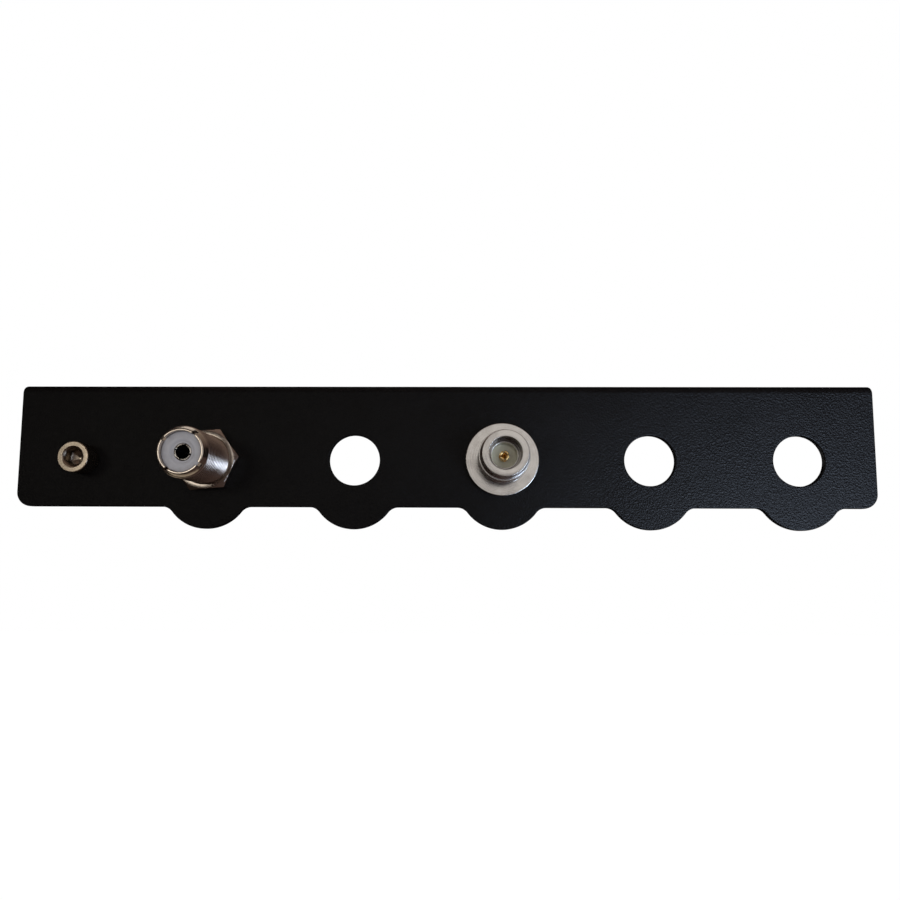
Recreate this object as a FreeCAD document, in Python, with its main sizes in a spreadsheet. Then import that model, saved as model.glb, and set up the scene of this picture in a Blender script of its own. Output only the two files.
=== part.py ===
import FreeCAD, Part
import math
import os
import Sketcher
from FreeCAD import Placement, Rotation, Vector

# Grounding strip: a folded sheet with five connector holes, an earth screw, a threaded barrel
# connector in the first hole and a flanged connector in the third.
# Frame: X along the strip, the front plate faces -Y, +Z is up. Z = 0 is the outer face of the
# flange, and the origin lies midway between the two fixing holes.

DIMENSIONS = [
    # Folded sheet
    ("strip_length", 279.0),
    ("sheet_thickness", 2.0),
    ("flange_depth", 30.0),
    ("bend_radius", 2.8),
    ("corner_radius", 4.7),
    ("hole_drop", 25.0),
    ("edge_drop", 15.4),
    ("hole_diameter", 16.5),
    ("hole_pitch", 48.0),
    ("hole_count", 5),
    ("right_margin", 24.7),
    ("lobe_drop", 8.6),
    ("lobe_radius", 13.95),
    ("lobe_fillet", 4.2),
    ("fixing_diameter", 5.5),
    ("fixing_spacing", 195.0),
    ("fixing_setback", 17.0),
    ("earth_offset", 40.5),
    ("earth_hole", 6.6),
    # Earth screw and its hardware
    ("screw_diameter", 6.0),
    ("screw_length", 20.0),
    ("head_diameter", 10.0),
    ("head_height", 6.0),
    ("head_edge", 0.6),
    ("socket_width", 5.0),
    ("socket_depth", 3.0),
    ("earth_nut_width", 10.0),
    ("earth_nut_height", 5.0),
    ("toothed_washer_diameter", 11.0),
    ("toothed_washer_height", 0.7),
    ("toothed_washer_teeth", 10),
    ("toothed_washer_cut", 1.5),
    ("washer_hole", 6.4),
    ("lug_washer_diameter", 12.0),
    ("lug_washer_height", 1.6),
    ("spring_washer_diameter", 11.4),
    ("spring_washer_height", 1.6),
    ("spring_washer_slit", 0.8),
    # Thread and hardware shared by both connectors
    ("thread_diameter", 15.88),
    ("panel_nut_width", 19.0),
    ("panel_nut_height", 2.8),
    ("nut_face_share", 0.95),
    ("panel_washer_diameter", 21.0),
    ("panel_washer_hole", 16.2),
    ("panel_washer_height", 0.8),
    ("panel_washer_teeth", 14),
    ("panel_washer_cut", 1.4),
    # Barrel connector
    ("uhf_length", 40.0),
    ("uhf_projection", 19.0),
    ("uhf_seat_drop", 0.25),
    ("uhf_rim_diameter", 13.8),
    ("uhf_thread_lead", 2.2),
    ("uhf_bore_diameter", 12.3),
    ("uhf_recess", 1.2),
    ("uhf_dish_diameter", 7.2),
    ("uhf_dish_depth", 0.6),
    ("uhf_contact_diameter", 5.3),
    ("uhf_contact_recess", 1.7),
    ("uhf_socket_diameter", 4.2),
    ("uhf_socket_depth", 12.0),
    ("uhf_slot_width", 0.55),
    ("uhf_slot_length", 8.0),
    ("uhf_notch_width", 1.3),
    ("uhf_notch_depth", 1.2),
    ("slot_count", 4),
    # Flanged connector
    ("n_length", 40.0),
    ("n_projection", 15.5),
    ("n_flange_diameter", 23.5),
    ("n_flange_thickness", 2.0),
    ("n_nose_diameter", 14.15),
    ("n_nose_length", 3.9),
    ("n_thread_lead", 0.5),
    ("n_mouth_diameter", 10.1),
    ("n_mouth_depth", 5.0),
    ("n_bore_diameter", 8.0),
    ("n_face_depth", 8.0),
    ("n_contact_diameter", 3.1),
    ("n_contact_depth", 5.2),
    ("n_socket_diameter", 1.7),
    ("n_socket_depth", 6.0),
    ("n_slot_width", 0.35),
    ("n_slot_length", 4.0),
    ("gasket_diameter", 22.0),
    ("gasket_thickness", 0.5),
]

# Turns about the connector axes, in degrees anticlockwise as seen from the front
UHF_NOTCH_TURN = 54
UHF_SLOT_TURN = 72
UHF_NUT_TURN = 5.5
N_SLOT_TURN = 10
SOCKET_TURN = 20
REAR_NUT_TURN = 12
EARTH_NUT_TURN = 8

FRONT_AXIS = Vector(0, -1, 0)
FRONT_FACING = Rotation(Vector(1, 0, 0), 90)
REAR_FACING = Rotation(Vector(1, 0, 0), -90)
FULL_TURN = 360
HALF_TURN = 180
HEXAGON_SIDES = 6
HEXAGON_HALF_SIDE = "30 deg"
BEVEL_ANGLE = "30 deg"
TOLERANCE = 1e-4


class Size:
    """A length that carries both its value and the sheet expression that gives it."""

    def __init__(self, value, text):
        self.value = value
        self.text = text

    @staticmethod
    def of(number):
        return number if isinstance(number, Size) else Size(number, repr(number))

    def joined(self, other, sign, value):
        return Size(value, "({} {} {})".format(self.text, sign, Size.of(other).text))

    def __add__(self, other):
        return self.joined(other, "+", self.value + Size.of(other).value)

    def __sub__(self, other):
        return self.joined(other, "-", self.value - Size.of(other).value)

    def __mul__(self, other):
        return self.joined(other, "*", self.value * Size.of(other).value)

    def __truediv__(self, other):
        return self.joined(other, "/", self.value / Size.of(other).value)

    def __neg__(self):
        return Size(-self.value, "(-{})".format(self.text))


class Sheet:
    """The sheet's cells by name, each as a Size."""

    def __init__(self, document, rows):
        self.page = document.addObject("Spreadsheet::Sheet", "dims")
        for number, (alias, value) in enumerate(rows, start=1):
            self.page.set("A{}".format(number), alias.replace("_", " "))
            self.page.set("B{}".format(number), str(value))
            self.page.setAlias("B{}".format(number), alias)
        document.recompute()

    def __getattr__(self, alias):
        return Size(self.page.get(alias), "dims." + alias)


doc = FreeCAD.newDocument("grounding_strip")
dim = Sheet(doc, DIMENSIONS)

# Places that several pieces share
ZERO = Size(0, "0")
FRONT_FACE = -dim.fixing_setback
BACK_FACE = FRONT_FACE + dim.sheet_thickness
HOLE_LINE = -dim.hole_drop
FIRST_HOLE = dim.strip_length / 2 - dim.right_margin - dim.hole_pitch * (dim.hole_count - 1)
THIRD_HOLE = FIRST_HOLE + dim.hole_pitch * 2
BARREL_LINE = HOLE_LINE - dim.uhf_seat_drop
EARTH_PLACE = FIRST_HOLE - dim.earth_offset
THREAD_RADIUS = dim.thread_diameter / 2
PIECES = []


# Sketch and feature helpers

def origin_feature(body, role):
    return next(item for item in body.Origin.OriginFeatures if item.Role == role)


def new_body(label):
    body = doc.addObject("PartDesign::Body", label)
    PIECES.append(body)
    return body


def new_sketch(body, name, plane, height=ZERO):
    """An empty sketch on an origin plane, moved along the plane's normal by height."""
    sketch = body.newObject("Sketcher::SketchObject", name)
    sketch.AttachmentSupport = (origin_feature(body, plane), [""])
    sketch.MapMode = "FlatFace"
    sketch.AttachmentOffset = Placement(Vector(0, 0, height.value), Rotation())
    if height is not ZERO:
        sketch.setExpression("AttachmentOffset.Base.z", height.text)
    return sketch


def bind(sketch, kind, *arguments):
    """Add a dimension whose last argument is a Size, and tie it to the sheet."""
    *places, size = arguments
    index = sketch.addConstraint(Sketcher.Constraint(kind, *places, size.value))
    sketch.setExpression("Constraints[{}]".format(index), size.text)


def pin_point(sketch, line, end, x, y):
    """Hold one end of an element at x, y from the sketch's origin."""
    for size, kind, axis in ((x, "DistanceX", -2), (y, "DistanceY", -1)):
        if size.value == 0:
            sketch.addConstraint(Sketcher.Constraint("PointOnObject", line, end, axis))
        else:
            bind(sketch, kind, -1, 1, line, end, size)


def draw_outline(sketch, corners):
    """A closed outline of straight lines through the corners."""
    points = [Vector(x.value, y.value, 0) for x, y in corners]
    count = len(points)
    for number in range(count):
        sketch.addGeometry(Part.LineSegment(points[number], points[(number + 1) % count]))
    for number in range(count):
        sketch.addConstraint(Sketcher.Constraint("Coincident", number, 2, (number + 1) % count, 1))
    for number, (x, y) in enumerate(corners):
        pin_point(sketch, number, 1, x, y)


def draw_circle(sketch, x, y, diameter):
    number = sketch.addGeometry(
        Part.Circle(Vector(x.value, y.value, 0), Vector(0, 0, 1), diameter.value / 2)
    )
    pin_point(sketch, number, 3, x, y)
    bind(sketch, "Diameter", number, diameter)


def draw_hexagon(sketch, across_flats):
    """A regular hexagon about the origin, with two corners on the sketch's X axis."""
    ring = sketch.addGeometry(Part.Circle(Vector(), Vector(0, 0, 1), across_flats.value), True)
    sketch.addConstraint(Sketcher.Constraint("Coincident", ring, 3, -1, 1))
    corner = across_flats.value / 2 / math.cos(math.pi / HEXAGON_SIDES)
    points = [
        Rotation(Vector(0, 0, 1), FULL_TURN / HEXAGON_SIDES * number).multVec(Vector(corner, 0, 0))
        for number in range(HEXAGON_SIDES)
    ]
    sides = []
    for number in range(HEXAGON_SIDES):
        line = Part.LineSegment(points[number], points[(number + 1) % HEXAGON_SIDES])
        sides.append(sketch.addGeometry(line))
    for number, side in enumerate(sides):
        following = sides[(number + 1) % HEXAGON_SIDES]
        sketch.addConstraint(Sketcher.Constraint("Coincident", side, 2, following, 1))
        sketch.addConstraint(Sketcher.Constraint("PointOnObject", side, 1, ring))
        if number:
            sketch.addConstraint(Sketcher.Constraint("Equal", sides[0], side))
    sketch.addConstraint(Sketcher.Constraint("PointOnObject", sides[0], 1, -1))
    first, opposite = sides[0], sides[HEXAGON_SIDES // 2]
    bind(sketch, "Distance", first, 1, opposite, across_flats)


def set_sizes(feature, **sizes):
    for prop, size in sizes.items():
        feature.setExpression(prop, size.text)


def pad(body, sketch, name, length, both_ways=False, turned=False):
    feature = body.newObject("PartDesign::Pad", name)
    feature.Profile = (sketch, [""])
    feature.SideType = "Symmetric" if both_ways else "One side"
    feature.Reversed = turned
    set_sizes(feature, Length=length)
    doc.recompute()
    return feature


def cut(body, sketch, name, length=None, turned=False):
    """A pocket, through everything where no length is given, checked to take material away."""
    before = body.Shape.Volume
    feature = body.newObject("PartDesign::Pocket", name)
    feature.Profile = (sketch, [""])
    feature.Reversed = turned
    if length is None:
        feature.Type = "ThroughAll"
    else:
        set_sizes(feature, Length=length)
    doc.recompute()
    if body.Shape.Volume >= before:
        raise ValueError(name + " cuts nothing")
    return feature


def revolve(body, name, corners):
    """Turn an outline of (radius, place along the axis) corners about the body's Y axis."""
    sketch = new_sketch(body, name + "_outline", "XY_Plane")
    draw_outline(sketch, corners)
    feature = body.newObject("PartDesign::Revolution", name)
    feature.Profile = (sketch, [""])
    feature.ReferenceAxis = (sketch, ["V_Axis"])
    feature.Angle = FULL_TURN
    doc.recompute()
    return feature


def row_of(body, feature, name):
    """Repeat a feature at every connector hole."""
    pattern = body.newObject("PartDesign::LinearPattern", name)
    pattern.Originals = [feature]
    pattern.Direction = (origin_feature(body, "X_Axis"), [""])
    set_sizes(pattern, Length=dim.hole_pitch * (dim.hole_count - 1), Occurrences=dim.hole_count)
    body.Tip = pattern
    doc.recompute()


def ring_of(body, features, name, count):
    """Repeat features evenly about the body's Y axis."""
    pattern = body.newObject("PartDesign::PolarPattern", name)
    pattern.Originals = features
    pattern.Axis = (origin_feature(body, "Y_Axis"), [""])
    pattern.Angle = FULL_TURN
    set_sizes(pattern, Occurrences=count)
    body.Tip = pattern
    doc.recompute()


def edges_of(body, wanted):
    """Names of the body's edges for which wanted(edge) is true."""
    return [
        "Edge{}".format(number)
        for number, edge in enumerate(body.Shape.Edges, start=1)
        if wanted(edge)
    ]


def fillet(body, name, radius, count, wanted):
    """Round the edges for which wanted(edge) is true, which have to be count in number."""
    base = body.Tip
    names = edges_of(body, wanted)
    if len(names) != count:
        raise ValueError("{} finds {} edges instead of {}".format(name, len(names), count))
    feature = body.newObject("PartDesign::Fillet", name)
    feature.Base = (base, names)
    set_sizes(feature, Radius=radius)
    doc.recompute()


def place(piece, x, y, z, rotation=Rotation()):
    """Put a piece's own origin at x, y, z of the part's frame."""
    piece.Placement = Placement(Vector(x.value, y.value, z.value), rotation)
    for axis, size in (("x", x), ("y", y), ("z", z)):
        piece.setExpression("Placement.Base." + axis, size.text)


def seen_turn(angle):
    """A turn about the connector axis, anticlockwise as seen from the front."""
    return Rotation(FRONT_AXIS, angle)


def front_nut_turn(angle):
    """Stand a nut's own Z axis towards the front, then turn the nut about it."""
    return seen_turn(angle).multiply(FRONT_FACING)


def rear_nut_turn(angle):
    """Stand a nut's own Z axis towards the rear, then turn the nut about it."""
    return seen_turn(angle).multiply(REAR_FACING)


# Folded sheet

def along(edge, axis):
    """Whether an edge is straight and runs along the given axis."""
    if len(edge.Vertexes) != 2 or not isinstance(edge.Curve, Part.Line):
        return False
    return abs(abs(edge.tangentAt(edge.FirstParameter).dot(axis)) - 1) < TOLERANCE


def is_near(value, size):
    return abs(value - size.value) < TOLERANCE


def strip():
    """L section along X with lobes added under the connector holes."""
    body = new_body("strip")
    bottom = HOLE_LINE - dim.edge_drop
    rear_edge = dim.flange_depth - dim.fixing_setback
    section = new_sketch(body, "fold_section", "YZ_Plane")
    draw_outline(section, [
        (FRONT_FACE, ZERO),
        (rear_edge, ZERO),
        (rear_edge, -dim.sheet_thickness),
        (BACK_FACE, -dim.sheet_thickness),
        (BACK_FACE, bottom),
        (FRONT_FACE, bottom),
    ])
    pad(body, section, "folded_sheet", dim.strip_length, both_ways=True)

    lobe_sketch = new_sketch(body, "lobe_outline", "XZ_Plane", dim.fixing_setback)
    draw_circle(lobe_sketch, FIRST_HOLE, HOLE_LINE - dim.lobe_drop, dim.lobe_radius * 2)
    lobe = pad(body, lobe_sketch, "lobe", dim.sheet_thickness, turned=True)
    row_of(body, lobe, "lobe_row")

    x_axis = Vector(1, 0, 0)
    y_axis = Vector(0, 1, 0)
    fillet(body, "outer_bend", dim.bend_radius, 1, lambda edge: along(edge, x_axis)
           and is_near(edge.CenterOfMass.y, FRONT_FACE) and is_near(edge.CenterOfMass.z, ZERO))
    fillet(body, "inner_bend", dim.bend_radius - dim.sheet_thickness, 1, lambda edge: along(edge, x_axis)
           and is_near(edge.CenterOfMass.y, BACK_FACE)
           and is_near(edge.CenterOfMass.z, -dim.sheet_thickness))
    fillet(body, "plate_corners", dim.corner_radius, 2, lambda edge: along(edge, y_axis)
           and is_near(edge.CenterOfMass.z, bottom)
           and is_near(abs(edge.CenterOfMass.x), dim.strip_length / 2))
    fillet(body, "lobe_roots", dim.lobe_fillet, 2 * int(dim.hole_count.value),
           lambda edge: along(edge, y_axis) and is_near(edge.CenterOfMass.z, bottom)
           and abs(edge.CenterOfMass.x) < dim.strip_length.value / 2 - dim.corner_radius.value)
    fillet(body, "flange_corners", dim.corner_radius, 2, lambda edge: along(edge, Vector(0, 0, 1))
           and is_near(edge.CenterOfMass.y, rear_edge))

    hole_sketch = new_sketch(body, "connector_hole_outline", "XZ_Plane", dim.fixing_setback)
    draw_circle(hole_sketch, FIRST_HOLE, HOLE_LINE, dim.hole_diameter)
    hole = cut(body, hole_sketch, "connector_hole")
    row_of(body, hole, "connector_hole_row")

    earth_sketch = new_sketch(body, "earth_hole_outline", "XZ_Plane", dim.fixing_setback)
    draw_circle(earth_sketch, EARTH_PLACE, HOLE_LINE, dim.earth_hole)
    cut(body, earth_sketch, "earth_screw_hole")

    fixing_sketch = new_sketch(body, "fixing_hole_outline", "XY_Plane")
    draw_circle(fixing_sketch, dim.fixing_spacing / 2, ZERO, dim.fixing_diameter)
    draw_circle(fixing_sketch, -dim.fixing_spacing / 2, ZERO, dim.fixing_diameter)
    cut(body, fixing_sketch, "fixing_holes")


# Nuts and washers

def hexagon_blank(label, width, height):
    """A hexagon prism along its own Z axis."""
    prism = doc.addObject("Part::Prism", label + "_blank")
    prism.Polygon = HEXAGON_SIDES
    prism.setExpression("Circumradius", "{} / 2 / cos({})".format(width.text, HEXAGON_HALF_SIDE))
    set_sizes(prism, Height=height)
    return prism


def drilled_nut(label, blank, height, hole_radius):
    """A nut made from a blank by a plain hole of the thread's outer size."""
    hole = doc.addObject("Part::Cylinder", label + "_hole")
    set_sizes(hole, Radius=hole_radius, Height=height)
    nut = doc.addObject("Part::Cut", label)
    nut.Base = blank
    nut.Tool = hole
    PIECES.append(nut)
    return nut


def plain_nut(label, width, height, hole_radius):
    return drilled_nut(label, hexagon_blank(label, width, height), height, hole_radius)


def bevelled_nut(label, width, height, hole_radius):
    """A nut whose corners a cone takes off at the upper face."""
    cone = doc.addObject("Part::Cone", label + "_bevel")
    face_radius = width * dim.nut_face_share / 2
    cone.setExpression("Radius1", "{} + {} / tan({})".format(face_radius.text, height.text, BEVEL_ANGLE))
    set_sizes(cone, Radius2=face_radius, Height=height)
    blank = doc.addObject("Part::Common", label + "_bevelled_blank")
    blank.Base = hexagon_blank(label, width, height)
    blank.Tool = cone
    return drilled_nut(label, blank, height, hole_radius)


def flat_ring(label, outer, inner, height):
    """A washer that lies on the XZ plane and reaches height towards +Y."""
    body = new_body(label)
    sketch = new_sketch(body, label + "_outline", "XZ_Plane")
    draw_circle(sketch, ZERO, ZERO, outer)
    draw_circle(sketch, ZERO, ZERO, inner)
    pad(body, sketch, label + "_ring", height, turned=True)
    return body


def add_teeth(body, near, far, width, count):
    """Cut straight gaps between two radii, which leave teeth between them."""
    sketch = new_sketch(body, body.Label + "_gap_outline", "XZ_Plane")
    draw_outline(sketch, [
        (near, -width / 2),
        (far, -width / 2),
        (far, width / 2),
        (near, width / 2),
    ])
    gap = cut(body, sketch, body.Label + "_gap")
    ring_of(body, [gap], body.Label + "_gaps", count)


def spring_washer(label):
    """A washer split by one slanted slit at its top."""
    body = flat_ring(label, dim.spring_washer_diameter, dim.washer_hole, dim.spring_washer_height)
    half = dim.spring_washer_slit / 2
    slant = dim.spring_washer_height / 2
    sketch = new_sketch(body, "slit_outline", "XY_Plane")
    draw_outline(sketch, [
        (-half - slant, ZERO),
        (half - slant, ZERO),
        (half + slant, dim.spring_washer_height),
        (slant - half, dim.spring_washer_height),
    ])
    cut(body, sketch, "slit", turned=True)
    return body


# Earth screw with its nuts and washers

def earth_screw():
    body = new_body("earth_screw")
    head = dim.head_diameter / 2
    shank = dim.screw_diameter / 2
    end = dim.head_height + dim.screw_length
    revolve(body, "screw_blank", [
        (ZERO, ZERO),
        (head - dim.head_edge, ZERO),
        (head, dim.head_edge),
        (head, dim.head_height),
        (shank, dim.head_height),
        (shank, end),
        (ZERO, end),
    ])
    sketch = new_sketch(body, "socket_outline", "XZ_Plane")
    draw_hexagon(sketch, dim.socket_width)
    cut(body, sketch, "socket", dim.socket_depth)
    place(body, EARTH_PLACE, FRONT_FACE - dim.head_height, HOLE_LINE, seen_turn(SOCKET_TURN))


def earth_hardware():
    """Toothed washer, nut, plain washer, split washer and nut, face to face behind the sheet."""
    level = BACK_FACE
    nut_sizes = (dim.earth_nut_width, dim.earth_nut_height, dim.screw_diameter / 2)

    toothed = flat_ring("earth_lock_washer", dim.toothed_washer_diameter, dim.washer_hole,
                        dim.toothed_washer_height)
    root = dim.toothed_washer_diameter / 2 - dim.toothed_washer_cut
    add_teeth(toothed, root, dim.toothed_washer_diameter, dim.toothed_washer_cut / 2,
              dim.toothed_washer_teeth)
    place(toothed, EARTH_PLACE, level, HOLE_LINE)
    level = level + dim.toothed_washer_height

    fixing_nut = plain_nut("earth_fixing_nut", *nut_sizes)
    place(fixing_nut, EARTH_PLACE, level, HOLE_LINE, rear_nut_turn(EARTH_NUT_TURN))
    level = level + dim.earth_nut_height

    washer = flat_ring("earth_lug_washer", dim.lug_washer_diameter, dim.washer_hole, dim.lug_washer_height)
    place(washer, EARTH_PLACE, level, HOLE_LINE)
    level = level + dim.lug_washer_height

    place(spring_washer("earth_spring_washer"), EARTH_PLACE, level, HOLE_LINE, seen_turn(REAR_NUT_TURN))
    level = level + dim.spring_washer_height

    lug_nut = plain_nut("earth_lug_nut", *nut_sizes)
    place(lug_nut, EARTH_PLACE, level, HOLE_LINE, rear_nut_turn(REAR_NUT_TURN))


# Hardware that clamps a connector behind the sheet

def panel_hardware(prefix, nut_label, centre, line):
    """Toothed washer and nut on a connector's axis, which lies at centre along X and at line in height."""
    washer = flat_ring(prefix + "_lock_washer", dim.panel_washer_diameter, dim.panel_washer_hole,
                       dim.panel_washer_height)
    add_teeth(washer, ZERO, dim.panel_washer_hole / 2 + dim.panel_washer_cut, dim.panel_washer_cut,
              dim.panel_washer_teeth)
    place(washer, centre, BACK_FACE, line)
    nut = plain_nut(nut_label, dim.panel_nut_width, dim.panel_nut_height, THREAD_RADIUS)
    place(nut, centre, BACK_FACE + dim.panel_washer_height, line, rear_nut_turn(REAR_NUT_TURN))


# Contacts and insulators

def cut_slots(body, name, length, end, near, far, width):
    """A ring of radial slots, between two radii, at both ends of a revolved body."""
    features = []
    for side, height, reverse in (("front", ZERO, False), ("rear", -end, True)):
        sketch = new_sketch(body, "{}_{}_outline".format(side, name), "XZ_Plane", height)
        draw_outline(sketch, [
            (near, -width / 2),
            (far, -width / 2),
            (far, width / 2),
            (near, width / 2),
        ])
        features.append(cut(body, sketch, "{}_{}".format(side, name), length, turned=reverse))
    ring_of(body, features, name + "_ring", dim.slot_count)


def contact(label, length, radius, socket, depth, slot_width, slot_length):
    """A rod with a slotted socket at each end."""
    body = new_body(label)
    revolve(body, label + "_turned", [
        (socket, ZERO),
        (radius, ZERO),
        (radius, length),
        (socket, length),
        (socket, length - depth),
        (ZERO, length - depth),
        (ZERO, depth),
        (socket, depth),
    ])
    cut_slots(body, "slot", slot_length, length, ZERO, radius * 2, slot_width)
    return body


def dished_insulator(label, length):
    """A bush whose outer face dips towards the contact."""
    body = new_body(label)
    hole = dim.uhf_contact_diameter / 2
    outside = dim.uhf_bore_diameter / 2
    revolve(body, label + "_turned", [
        (dim.uhf_dish_diameter / 2, ZERO),
        (outside, ZERO),
        (outside, length),
        (hole, length),
        (hole, dim.uhf_dish_depth),
    ])
    return body


def plain_insulator(label, length):
    """A bush with flat faces."""
    body = new_body(label)
    hole = dim.n_contact_diameter / 2
    outside = dim.n_bore_diameter / 2
    revolve(body, label + "_turned", [
        (hole, ZERO),
        (outside, ZERO),
        (outside, length),
        (hole, length),
    ])
    return body


def insulator_pair(make, prefix, centre, line, front, rear):
    """Two like bushes on a connector's axis, which face its two ends and meet in the middle."""
    length = (rear - front) / 2
    place(make(prefix + "_front_insulator", length), centre, front, line)
    place(make(prefix + "_rear_insulator", length), centre, rear, line,
          Rotation(Vector(0, 0, 1), HALF_TURN))


# Barrel connector

def uhf_shell(front):
    """A tube with a tapered lead and a notched rim at each end."""
    body = new_body("uhf_shell")
    rim = dim.uhf_rim_diameter / 2
    bore = dim.uhf_bore_diameter / 2
    length = dim.uhf_length
    revolve(body, "uhf_barrel", [
        (bore, ZERO),
        (rim, ZERO),
        (THREAD_RADIUS, dim.uhf_thread_lead),
        (THREAD_RADIUS, length - dim.uhf_thread_lead),
        (rim, length),
        (bore, length),
    ])
    cut_slots(body, "notch", dim.uhf_notch_depth, length, rim / 2, dim.thread_diameter, dim.uhf_notch_width)
    place(body, FIRST_HOLE, front, BARREL_LINE, seen_turn(UHF_NOTCH_TURN))


def barrel_connector():
    """The barrel rests in its hole, so its axis lies a little under the line of the holes."""
    front = FRONT_FACE - dim.uhf_projection
    rear = front + dim.uhf_length
    uhf_shell(front)
    insulator_pair(dished_insulator, "uhf", FIRST_HOLE, BARREL_LINE, front + dim.uhf_recess,
                   rear - dim.uhf_recess)
    middle = contact(
        "uhf_contact", dim.uhf_length - dim.uhf_contact_recess * 2, dim.uhf_contact_diameter / 2,
        dim.uhf_socket_diameter / 2, dim.uhf_socket_depth, dim.uhf_slot_width, dim.uhf_slot_length,
    )
    place(middle, FIRST_HOLE, front + dim.uhf_contact_recess, BARREL_LINE, seen_turn(UHF_SLOT_TURN))
    nut = bevelled_nut("uhf_front_nut", dim.panel_nut_width, dim.panel_nut_height, THREAD_RADIUS)
    place(nut, FIRST_HOLE, FRONT_FACE, BARREL_LINE, front_nut_turn(UHF_NUT_TURN))
    panel_hardware("uhf", "uhf_rear_nut", FIRST_HOLE, BARREL_LINE)


# Flanged connector

def n_shell(front):
    """A body with a smooth nose at each end, thread between, and a flange that seats on the gasket."""
    body = new_body("n_shell")
    nose = dim.n_nose_diameter / 2
    mouth = dim.n_mouth_diameter / 2
    bore = dim.n_bore_diameter / 2
    flange = dim.n_flange_diameter / 2
    length = dim.n_length
    seat = dim.n_projection - dim.gasket_thickness
    flange_front = seat - dim.n_flange_thickness
    thread_start = dim.n_nose_length + dim.n_thread_lead
    revolve(body, "n_body", [
        (mouth, ZERO),
        (nose, ZERO),
        (nose, dim.n_nose_length),
        (THREAD_RADIUS, thread_start),
        (THREAD_RADIUS, flange_front),
        (flange, flange_front),
        (flange, seat),
        (THREAD_RADIUS, seat),
        (THREAD_RADIUS, length - thread_start),
        (nose, length - dim.n_nose_length),
        (nose, length),
        (mouth, length),
        (mouth, length - dim.n_mouth_depth),
        (bore, length - dim.n_mouth_depth),
        (bore, dim.n_mouth_depth),
        (mouth, dim.n_mouth_depth),
    ])
    place(body, THIRD_HOLE, front, HOLE_LINE)


def flanged_connector():
    front = FRONT_FACE - dim.n_projection
    rear = front + dim.n_length
    n_shell(front)
    gasket = flat_ring("n_gasket", dim.gasket_diameter, dim.hole_diameter, dim.gasket_thickness)
    place(gasket, THIRD_HOLE, FRONT_FACE - dim.gasket_thickness, HOLE_LINE)
    insulator_pair(plain_insulator, "n", THIRD_HOLE, HOLE_LINE, front + dim.n_face_depth,
                   rear - dim.n_face_depth)
    middle = contact(
        "n_contact", dim.n_length - dim.n_contact_depth * 2, dim.n_contact_diameter / 2,
        dim.n_socket_diameter / 2, dim.n_socket_depth, dim.n_slot_width, dim.n_slot_length,
    )
    place(middle, THIRD_HOLE, front + dim.n_contact_depth, HOLE_LINE, seen_turn(N_SLOT_TURN))
    panel_hardware("n", "n_nut", THIRD_HOLE, HOLE_LINE)


def write_pieces():
    """Write every piece to its own file once the whole document is sound."""
    doc.recompute()
    failed = [item.Name for item in doc.Objects if {"Invalid", "Error"} & set(item.State)]
    if failed:
        raise ValueError("failed: " + ", ".join(failed))
    for piece in PIECES:
        if piece.Shape.isNull() or not piece.Shape.isValid() or len(piece.Shape.Solids) != 1:
            raise ValueError("bad shape: " + piece.Label)
    os.makedirs("parts", exist_ok=True)
    for piece in PIECES:
        piece.Shape.exportStep(os.path.join("parts", piece.Label + ".step"))
        print(piece.Label, round(piece.Shape.Volume, 1))


strip()
earth_screw()
earth_hardware()
barrel_connector()
flanged_connector()
write_pieces()
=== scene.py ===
import bmesh
import bpy
import numpy as np
from mathutils.geometry import delaunay_2d_cdt
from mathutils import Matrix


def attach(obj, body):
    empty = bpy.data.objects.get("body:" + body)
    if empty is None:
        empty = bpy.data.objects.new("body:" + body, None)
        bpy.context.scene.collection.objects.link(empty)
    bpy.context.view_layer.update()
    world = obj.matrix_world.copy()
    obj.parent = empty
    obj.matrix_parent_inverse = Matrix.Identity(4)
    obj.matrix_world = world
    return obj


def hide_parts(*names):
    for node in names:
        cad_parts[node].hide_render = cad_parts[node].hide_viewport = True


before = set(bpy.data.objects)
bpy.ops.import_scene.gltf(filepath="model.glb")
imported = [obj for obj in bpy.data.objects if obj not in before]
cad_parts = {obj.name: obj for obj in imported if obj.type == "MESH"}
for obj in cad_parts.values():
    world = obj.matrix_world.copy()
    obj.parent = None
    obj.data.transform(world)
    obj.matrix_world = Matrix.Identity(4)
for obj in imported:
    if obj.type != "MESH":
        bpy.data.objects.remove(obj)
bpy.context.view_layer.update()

MM = 0.001

# Places that the pieces share, in millimetres in the part's frame
SHEET_THICKNESS = 2.0
FRONT_FACE = -17.0
BACK_FACE = FRONT_FACE + SHEET_THICKNESS
HOLE_LINE = -25.0
FIRST_HOLE = -77.2
HOLE_PITCH = 48.0
HOLE_COUNT = 5
HOLES = FIRST_HOLE + HOLE_PITCH * np.arange(HOLE_COUNT)
EARTH = (-117.7, HOLE_LINE)
SEAT_DROP = 0.25
BARREL = (HOLES[0], HOLE_LINE - SEAT_DROP)
FLANGED = (HOLES[2], HOLE_LINE)

# Thread of both connectors
THREAD_RADIUS = 7.94
THREAD_PITCH = 25.4 / 24
THREAD_DEPTH = 0.55


# Grids of points and the meshes made from them

MERGE_DISTANCE = 1e-6
SPECK_LENGTH = 1e-7
SOFT_STEPS = 5


def wrap_faces(rows, columns, wrap_rows, wrap_columns):
    """Four-sided faces between neighbours of a grid, whose last row or column may join its first."""
    row, column = np.meshgrid(
        np.arange(rows if wrap_rows else rows - 1),
        np.arange(columns if wrap_columns else columns - 1),
        indexing="ij",
    )
    next_row = (row + 1) % rows
    next_column = (column + 1) % columns
    corners = (
        row * columns + column,
        row * columns + next_column,
        next_row * columns + next_column,
        next_row * columns + column,
    )
    return np.stack(corners, axis=-1).reshape(-1, 4)


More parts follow.
